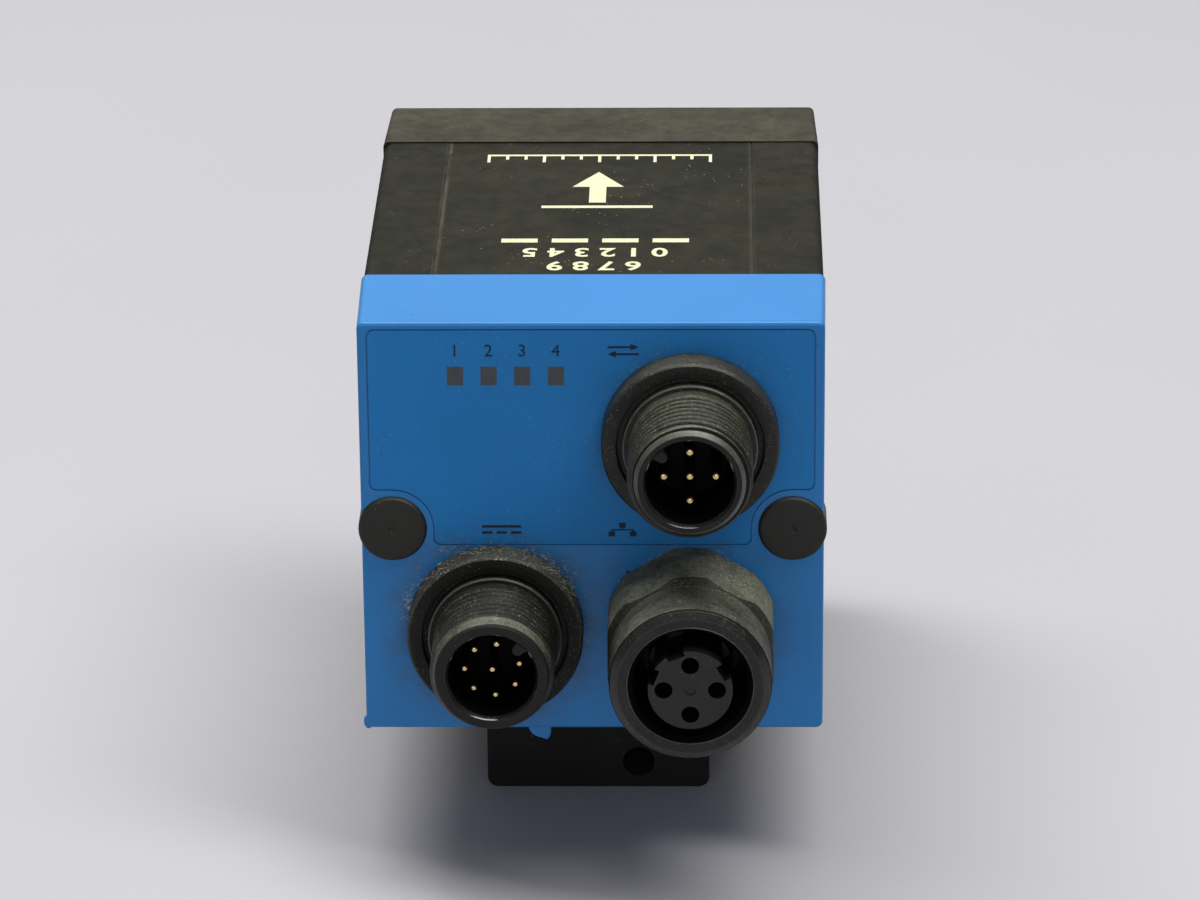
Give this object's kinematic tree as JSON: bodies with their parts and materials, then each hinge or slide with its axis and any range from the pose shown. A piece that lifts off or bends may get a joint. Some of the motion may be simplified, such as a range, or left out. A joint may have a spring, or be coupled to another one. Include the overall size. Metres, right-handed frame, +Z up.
{
  "type": "machine vision camera",
  "caption": "Compact box-shaped vision sensor with a blue rear cover, round M12 connectors, round plugs over its adjustments and a window in front, standing on a dovetail clamp block.",
  "frame": {"origin": "middle of the footprint of the whole part, on the surface that the clamp block stands on", "axes": "+X to the right seen from the connector side, +Y from the connector side towards the front window, +Z up"},
  "size_m": [0.0454, 0.0788, 0.0566],
  "materials": {
    "blue_plastic": "moulded, light satin",
    "label_film": "satin polyester film",
    "smoked_film": "smoked window",
    "clear_plastic": "clear light guide",
    "black_plastic": "moulded",
    "black_casing": "fine texture",
    "top_film": "satin film",
    "seal_rubber": "soft seal",
    "window_glass": "clear",
    "steel": "plated",
    "black_connector": "dusty, turned",
    "gold": "gold plated",
    "insert_plastic": "moulded",
    "nickel": "nickel plated",
    "board": "solder mask",
    "led_white": "lamp body",
    "chip": "package",
    "chassis_alu": "cast",
    "carriage_alu": "machined",
    "black_alu": "black anodised",
    "lens_glass": "coated",
    "brass": "turned",
    "clamp_black": "black anodised"
  },
  "bodies": {
    "camera": {"rear_cover": "blue_plastic", "rear_label": "label_film", "status_windows": "smoked_film", "light_guide": "clear_plastic", "housing": "black_casing", "top_label": "top_film", "rear_gasket": "seal_rubber", "front_gasket": "seal_rubber", "front_frame": "black_casing", "front_window": "window_glass", "window_seal": "seal_rubber", "cover_screws": "steel", "frame_screws": "steel", "power_connector_shell": "black_connector", "power_connector_pins": "gold", "power_connector_insert": "insert_plastic", "data_connector_shell": "black_connector", "data_connector_pins": "gold", "data_connector_insert": "insert_plastic", "lan_connector_shell": "black_connector", "lan_connector_contacts": "gold", "lan_connector_insert": "insert_plastic", "connector_nuts": "nickel", "connector_seals": "seal_rubber", "connector_board": "board", "status_leds": "led_white", "board_header": "insert_plastic", "processor_board": "board", "processor_chip": "chip", "sensor_board": "board", "image_sensor": "chip", "board_standoffs": "nickel", "board_screws": "steel", "chassis": "chassis_alu", "chassis_screws": "steel", "guide_rods": "steel", "illumination_board": "board", "illumination_leds": "led_white", "light_board_screws": "steel", "lens_baffle": "black_plastic"},
    "clamp": {"clamp_block": "clamp_black", "clamp_jaw": "clamp_black", "clamp_screws": "steel"},
    "lens_unit": {"lens_carriage": "carriage_alu", "lens_barrel": "black_alu", "front_lens": "lens_glass", "rear_lens": "lens_glass", "lens_retaining_ring": "black_alu"},
    "focus_screw": {"focus_screw": "brass"},
    "plug_left": {"plug_left": "black_plastic"},
    "plug_right": {"plug_right": "black_plastic"}
  },
  "joints": [
    {"name": "focus_turn", "type": "hinge", "parent": "camera", "child": "focus_screw", "pos_m": [-0.0184, -0.0194, 0.03515], "axis": [0, 1, 0], "range_deg": [-1080, 1080]},
    {"name": "lens_travel", "type": "slide", "parent": "camera", "child": "lens_unit", "axis": [0, 1, 0], "range_m": [-0.0015, 0.0015]},
    {"name": "plug_left_pull", "type": "slide", "parent": "camera", "child": "plug_left", "axis": [0, -1, 0], "range_m": [0, 0.007]},
    {"name": "plug_right_pull", "type": "slide", "parent": "camera", "child": "plug_right", "axis": [0, -1, 0], "range_m": [0, 0.007]},
    {"name": "clamp_slide", "type": "slide", "parent": "camera", "child": "clamp", "axis": [0, 1, 0], "range_m": [-0.004, 0.009]}
  ],
  "couplings": [
    {"joint": "focus_turn", "follows": "lens_travel", "rad_per_m": 12566}
  ]
}
